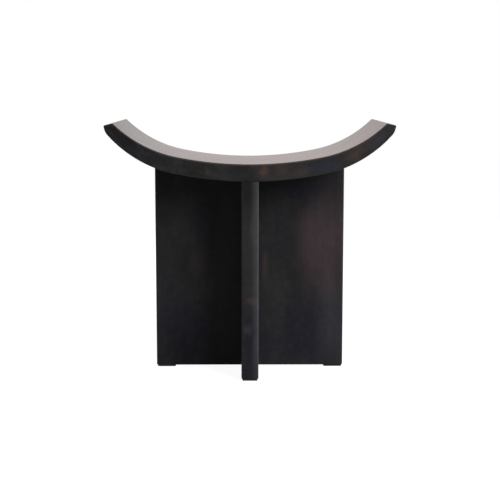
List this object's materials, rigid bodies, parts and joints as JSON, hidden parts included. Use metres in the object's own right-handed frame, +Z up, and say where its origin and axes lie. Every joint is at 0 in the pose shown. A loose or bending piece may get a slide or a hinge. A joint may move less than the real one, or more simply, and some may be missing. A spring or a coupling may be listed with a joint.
{
  "type": "block stool",
  "caption": "Low stool with a hollow curved seat glued up from sawn staves, on a base of two crossed upright panels with small floor pads.",
  "frame": {"origin": "on the floor below the middle of the seat", "axes": "+X along the seat's width, +Y from front to rear along its depth, +Z up"},
  "size_m": [0.5, 0.25, 0.4498],
  "materials": {
    "stained_wood": "stained black-brown, waxed satin",
    "dowel_wood": "plain, unfinished",
    "pad_rubber": "matte"
  },
  "bodies": {
    "root": {"seat_stave_front": "stained_wood", "seat_stave_mid_front": "stained_wood", "seat_stave_centre": "stained_wood", "seat_stave_mid_rear": "stained_wood", "seat_stave_rear": "stained_wood", "wide_panel_left_board": "stained_wood", "wide_panel_middle_board": "stained_wood", "wide_panel_right_board": "stained_wood", "cross_panel_front_board": "stained_wood", "cross_panel_middle_board": "stained_wood", "cross_panel_rear_board": "stained_wood", "wide_panel_dowels": "dowel_wood", "cross_panel_dowels": "dowel_wood", "floor_pad_left": "pad_rubber", "floor_pad_right": "pad_rubber", "floor_pad_front": "pad_rubber", "floor_pad_rear": "pad_rubber"}
  },
  "joints": []
}
